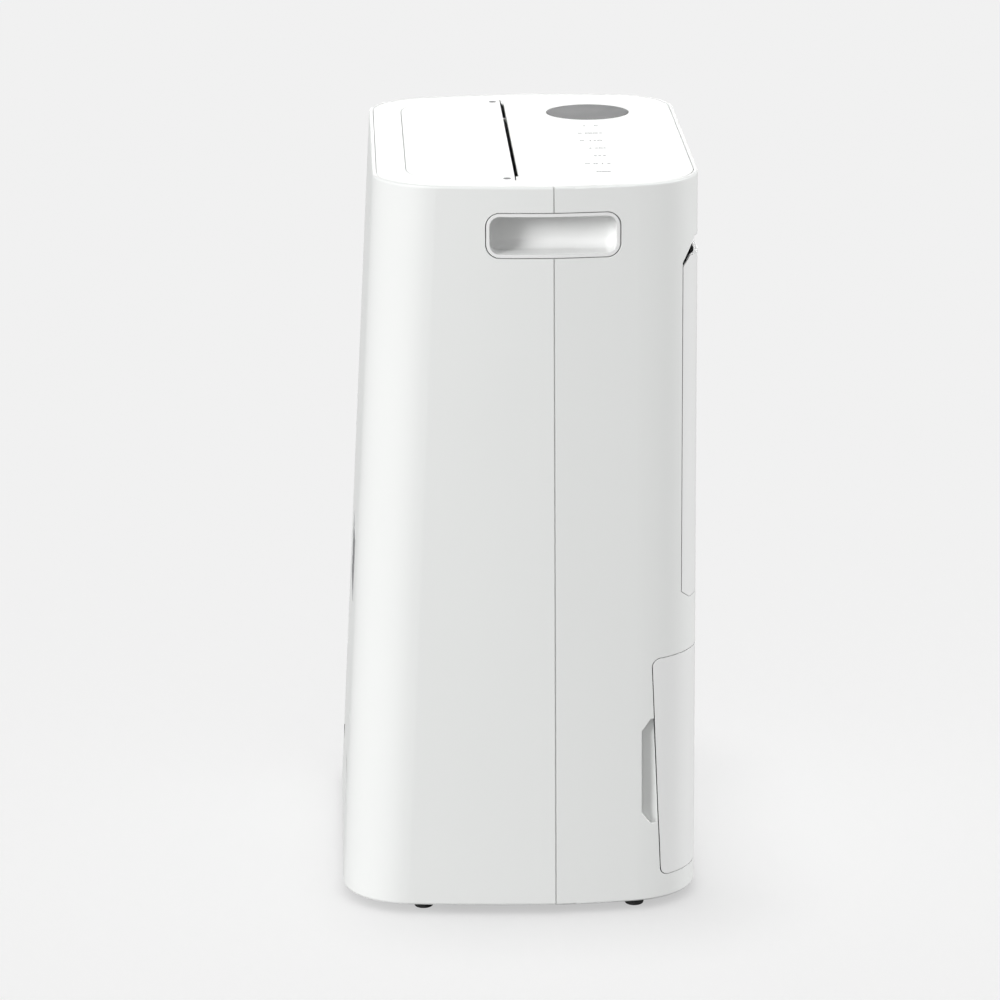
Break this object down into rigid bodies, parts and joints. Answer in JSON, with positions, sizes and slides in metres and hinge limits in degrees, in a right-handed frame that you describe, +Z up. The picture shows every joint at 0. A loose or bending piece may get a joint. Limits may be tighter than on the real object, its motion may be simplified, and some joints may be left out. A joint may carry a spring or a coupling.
{
  "type": "dehumidifier",
  "caption": "Portable compressor dehumidifier with a pull-out water tank, a tilting top louver, side hand recesses and a lift-off filter panel.",
  "frame": {"origin": "on the floor under the middle of the cabinet", "axes": "+Z up, -Y out of the front with the tank and the intake panel, +X to the side of the display"},
  "size_m": [0.333, 0.2429, 0.505],
  "materials": {
    "shell_white": "satin moulded white plastic",
    "panel_white": "satin moulded white plastic",
    "lens_black": "smoked glossy lens",
    "tank_clear": "smoky translucent plastic",
    "foam_white": "closed-cell foam",
    "chassis_grey": "matte grey structural plastic",
    "fan_black": "matte black plastic",
    "mesh_grey": "woven nylon mesh",
    "fin_aluminium": "thin bare fins",
    "copper": "drawn copper tube",
    "compressor_black": "black enamel",
    "steel": "zinc-plated steel",
    "rubber_black": "matte rubber",
    "board_green": "coated printed board",
    "display_grey": "display module",
    "plate_silver": "satin foil"
  },
  "bodies": {
    "cabinet": {"front_shell": "shell_white", "rear_shell": "shell_white", "drain_port": "shell_white", "rear_screws": "steel", "top_cover": "shell_white", "display_lens": "lens_black", "control_board": "board_green", "display_module": "display_grey", "louver_motor": "steel", "outlet_grille": "fan_black", "outlet_duct": "chassis_grey", "handle_cup_left": "panel_white", "handle_cup_right": "panel_white", "intake_grille": "chassis_grey", "tank_sensor": "fan_black", "mid_deck": "chassis_grey", "drip_tray": "chassis_grey", "drain_hose": "rubber_black", "drain_spigot": "chassis_grey", "evaporator_fins": "fin_aluminium", "evaporator_tubes": "copper", "condenser_fins": "fin_aluminium", "condenser_tubes": "copper", "scroll_housing": "chassis_grey", "fan_inlet_ring": "chassis_grey", "fan_motor": "steel", "motor_bracket": "steel", "compressor_shell": "compressor_black", "compressor_grommets": "rubber_black", "compressor_bracket": "steel", "terminal_cover": "fan_black", "accumulator": "copper", "suction_pipe": "copper", "discharge_pipe": "copper", "filter_dryer": "copper", "capillary_pipe": "copper", "base_pan": "chassis_grey", "foot_front_left": "rubber_black", "foot_front_right": "rubber_black", "foot_rear_left": "rubber_black", "foot_rear_right": "rubber_black", "electronics_case": "chassis_grey", "main_board": "board_green", "run_capacitor": "plate_silver", "humidity_sensor": "fan_black", "cord_gland": "rubber_black", "rating_plate": "plate_silver"},
    "louver": {"louver_flap": "shell_white", "hinge_pins": "steel"},
    "fan": {"fan_wheel": "fan_black", "fan_shaft": "steel"},
    "tank": {"tank_bucket": "tank_clear", "tank_front": "panel_white", "tank_lid": "tank_clear"},
    "float": {"tank_float": "foam_white"},
    "filter_door": {"filter_cover": "panel_white", "filter_frame": "chassis_grey", "filter_mesh": "mesh_grey"},
    "drain_cap": {"drain_cap": "rubber_black"}
  },
  "joints": [
    {"name": "louver_hinge", "type": "hinge", "parent": "cabinet", "child": "louver", "pos_m": [0, 0.006, 0.4988], "axis": [1, 0, 0], "range_deg": [0, 80]},
    {"name": "fan_spin", "type": "hinge", "parent": "cabinet", "child": "fan", "pos_m": [0, 0.03, 0.33], "axis": [0, 1, 0], "continuous": true},
    {"name": "tank_slide", "type": "slide", "parent": "cabinet", "child": "tank", "axis": [0, -1, 0], "range_m": [0, 0.15]},
    {"name": "float_hinge", "type": "hinge", "parent": "tank", "child": "float", "pos_m": [0, -0.026, 0.143], "axis": [-1, 0, 0], "range_deg": [0, 9]},
    {"name": "filter_slide", "type": "slide", "parent": "cabinet", "child": "filter_door", "axis": [0, -1, 0], "range_m": [0, 0.06]},
    {"name": "cap_slide", "type": "slide", "parent": "cabinet", "child": "drain_cap", "axis": [0, 1, 0], "range_m": [0, 0.03]}
  ]
}
